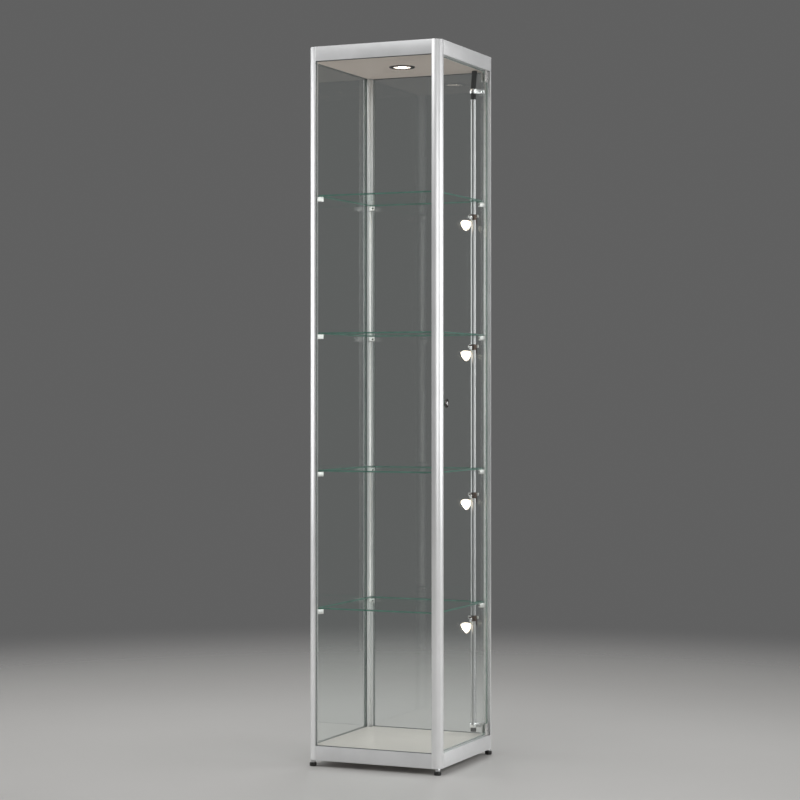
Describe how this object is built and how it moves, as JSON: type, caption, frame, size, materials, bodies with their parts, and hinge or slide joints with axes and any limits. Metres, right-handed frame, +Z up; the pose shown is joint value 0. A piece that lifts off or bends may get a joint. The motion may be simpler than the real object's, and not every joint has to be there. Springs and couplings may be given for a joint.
{
  "type": "tower display case",
  "caption": "Tall square display case with an aluminium frame, glass sides and shelves, a lockable glass door, a light rail with spotlights and levelling feet.",
  "frame": {"origin": "on the floor, under the middle of the case", "axes": "+Z up, the front pane faces -Y, the door is on the +X side"},
  "size_m": [0.4, 0.4, 2],
  "materials": {
    "post_aluminium": "bright silver anodised, smooth",
    "rail_aluminium": "matt silver anodised, fine brushed",
    "pane_glass": "clear toughened float glass with green edges",
    "shelf_glass": "clear float glass with polished green edges",
    "deck_white": "white melamine face",
    "ceiling_board": "off-white melamine face",
    "cover_sheet": "silver painted sheet",
    "support_metal": "satin nickel",
    "foot_black": "black moulded foot with a zinc neck",
    "hinge_metal": "satin nickel",
    "lock_metal": "dark nickel rim",
    "chrome_bright": "bright chrome",
    "rail_tube": "satin anodised tube",
    "black_plastic": "black sleeve",
    "downlight_metal": "dark chrome ring",
    "downlight_glass": "frosted lens, lit",
    "transformer_case": "white moulded case",
    "clip_bronze": "dark bronze",
    "lamp_glass": "glowing reflector glass"
  },
  "bodies": {
    "root": {"post_back_right": "post_aluminium", "shelf_supports_back_right": "support_metal", "post_back_left": "post_aluminium", "shelf_supports_back_left": "support_metal", "post_front_left": "post_aluminium", "shelf_supports_front_left": "support_metal", "post_front_right": "post_aluminium", "shelf_supports_front_right": "support_metal", "base_rail_right": "rail_aluminium", "top_rail_right": "rail_aluminium", "base_rail_back": "rail_aluminium", "top_rail_back": "rail_aluminium", "base_rail_left": "rail_aluminium", "top_rail_left": "rail_aluminium", "base_rail_front": "rail_aluminium", "top_rail_front": "rail_aluminium", "base_deck": "deck_white", "ceiling_panel": "ceiling_board", "top_cover": "cover_sheet", "back_glass": "pane_glass", "left_glass": "pane_glass", "front_glass": "pane_glass", "light_rail": "rail_tube", "rail_cap_bottom": "black_plastic", "rail_bracket_bottom": "chrome_bright", "rail_bracket_top": "chrome_bright", "rail_feed_lead": "black_plastic", "downlight_body": "downlight_metal", "downlight_lens": "downlight_glass", "transformer": "transformer_case", "shelf_1": "shelf_glass", "shelf_2": "shelf_glass", "shelf_3": "shelf_glass", "shelf_4": "shelf_glass"},
    "door": {"door_glass": "pane_glass", "hinge_clamp_bottom": "hinge_metal", "hinge_clamp_top": "hinge_metal", "lock_barrel": "lock_metal"},
    "lock_rotor": {"lock_plug": "chrome_bright", "lock_cam": "support_metal"},
    "lamp_carrier_1": {"lamp_clip_1": "clip_bronze"},
    "lamp_swivel_1": {"lamp_yoke_1": "chrome_bright"},
    "lamp_head_1": {"lamp_socket_1": "clip_bronze", "lamp_bulb_1": "lamp_glass"},
    "lamp_carrier_2": {"lamp_clip_2": "clip_bronze"},
    "lamp_swivel_2": {"lamp_yoke_2": "chrome_bright"},
    "lamp_head_2": {"lamp_socket_2": "clip_bronze", "lamp_bulb_2": "lamp_glass"},
    "lamp_carrier_3": {"lamp_clip_3": "clip_bronze"},
    "lamp_swivel_3": {"lamp_yoke_3": "chrome_bright"},
    "lamp_head_3": {"lamp_socket_3": "clip_bronze", "lamp_bulb_3": "lamp_glass"},
    "lamp_carrier_4": {"lamp_clip_4": "clip_bronze"},
    "lamp_swivel_4": {"lamp_yoke_4": "chrome_bright"},
    "lamp_head_4": {"lamp_socket_4": "clip_bronze", "lamp_bulb_4": "lamp_glass"},
    "levelling_foot_back_right": {"foot_back_right": "foot_black"},
    "levelling_foot_back_left": {"foot_back_left": "foot_black"},
    "levelling_foot_front_left": {"foot_front_left": "foot_black"},
    "levelling_foot_front_right": {"foot_front_right": "foot_black"}
  },
  "joints": [
    {"name": "door_swing", "type": "hinge", "parent": "root", "child": "door", "pos_m": [0.189, 0.165, 0], "axis": [0, 0, 1], "range_deg": [0, 100]},
    {"name": "lock_turn", "type": "hinge", "parent": "door", "child": "lock_rotor", "pos_m": [0.192, -0.138, 1.01], "axis": [1, 0, 0], "range_deg": [0, 90]},
    {"name": "lamp_slide_1", "type": "slide", "parent": "root", "child": "lamp_carrier_1", "axis": [0, 0, 1], "range_m": [-0.23, 0.026]},
    {"name": "lamp_turn_1", "type": "hinge", "parent": "lamp_carrier_1", "child": "lamp_swivel_1", "pos_m": [0.155, 0.132, 0.389], "axis": [0, 0, 1], "range_deg": [-30, 15]},
    {"name": "lamp_tilt_1", "type": "hinge", "parent": "lamp_swivel_1", "child": "lamp_head_1", "pos_m": [0.155, 0.132, 0.389], "axis": [-0.7071, 0.7071, 0], "range_deg": [-20, 30]},
    {"name": "lamp_slide_2", "type": "slide", "parent": "root", "child": "lamp_carrier_2", "axis": [0, 0, 1], "range_m": [-0.23, 0.057]},
    {"name": "lamp_turn_2", "type": "hinge", "parent": "lamp_carrier_2", "child": "lamp_swivel_2", "pos_m": [0.155, 0.132, 0.741], "axis": [0, 0, 1], "range_deg": [-30, 15]},
    {"name": "lamp_tilt_2", "type": "hinge", "parent": "lamp_swivel_2", "child": "lamp_head_2", "pos_m": [0.155, 0.132, 0.741], "axis": [-0.7071, 0.7071, 0], "range_deg": [-20, 30]},
    {"name": "lamp_slide_3", "type": "slide", "parent": "root", "child": "lamp_carrier_3", "axis": [0, 0, 1], "range_m": [-0.23, 0.016]},
    {"name": "lamp_turn_3", "type": "hinge", "parent": "lamp_carrier_3", "child": "lamp_swivel_3", "pos_m": [0.155, 0.132, 1.165], "axis": [0, 0, 1], "range_deg": [-30, 15]},
    {"name": "lamp_tilt_3", "type": "hinge", "parent": "lamp_swivel_3", "child": "lamp_head_3", "pos_m": [0.155, 0.132, 1.165], "axis": [-0.7071, 0.7071, 0], "range_deg": [-20, 30]},
    {"name": "lamp_slide_4", "type": "slide", "parent": "root", "child": "lamp_carrier_4", "axis": [0, 0, 1], "range_m": [-0.23, 0.027]},
    {"name": "lamp_turn_4", "type": "hinge", "parent": "lamp_carrier_4", "child": "lamp_swivel_4", "pos_m": [0.155, 0.132, 1.537], "axis": [0, 0, 1], "range_deg": [-30, 15]},
    {"name": "lamp_tilt_4", "type": "hinge", "parent": "lamp_swivel_4", "child": "lamp_head_4", "pos_m": [0.155, 0.132, 1.537], "axis": [-0.7071, 0.7071, 0], "range_deg": [-20, 30]},
    {"name": "foot_screw_back_right", "type": "slide", "parent": "root", "child": "levelling_foot_back_right", "axis": [0, 0, -1], "range_m": [0, 0.012]},
    {"name": "foot_screw_back_left", "type": "slide", "parent": "root", "child": "levelling_foot_back_left", "axis": [0, 0, -1], "range_m": [0, 0.012]},
    {"name": "foot_screw_front_left", "type": "slide", "parent": "root", "child": "levelling_foot_front_left", "axis": [0, 0, -1], "range_m": [0, 0.012]},
    {"name": "foot_screw_front_right", "type": "slide", "parent": "root", "child": "levelling_foot_front_right", "axis": [0, 0, -1], "range_m": [0, 0.012]}
  ]
}
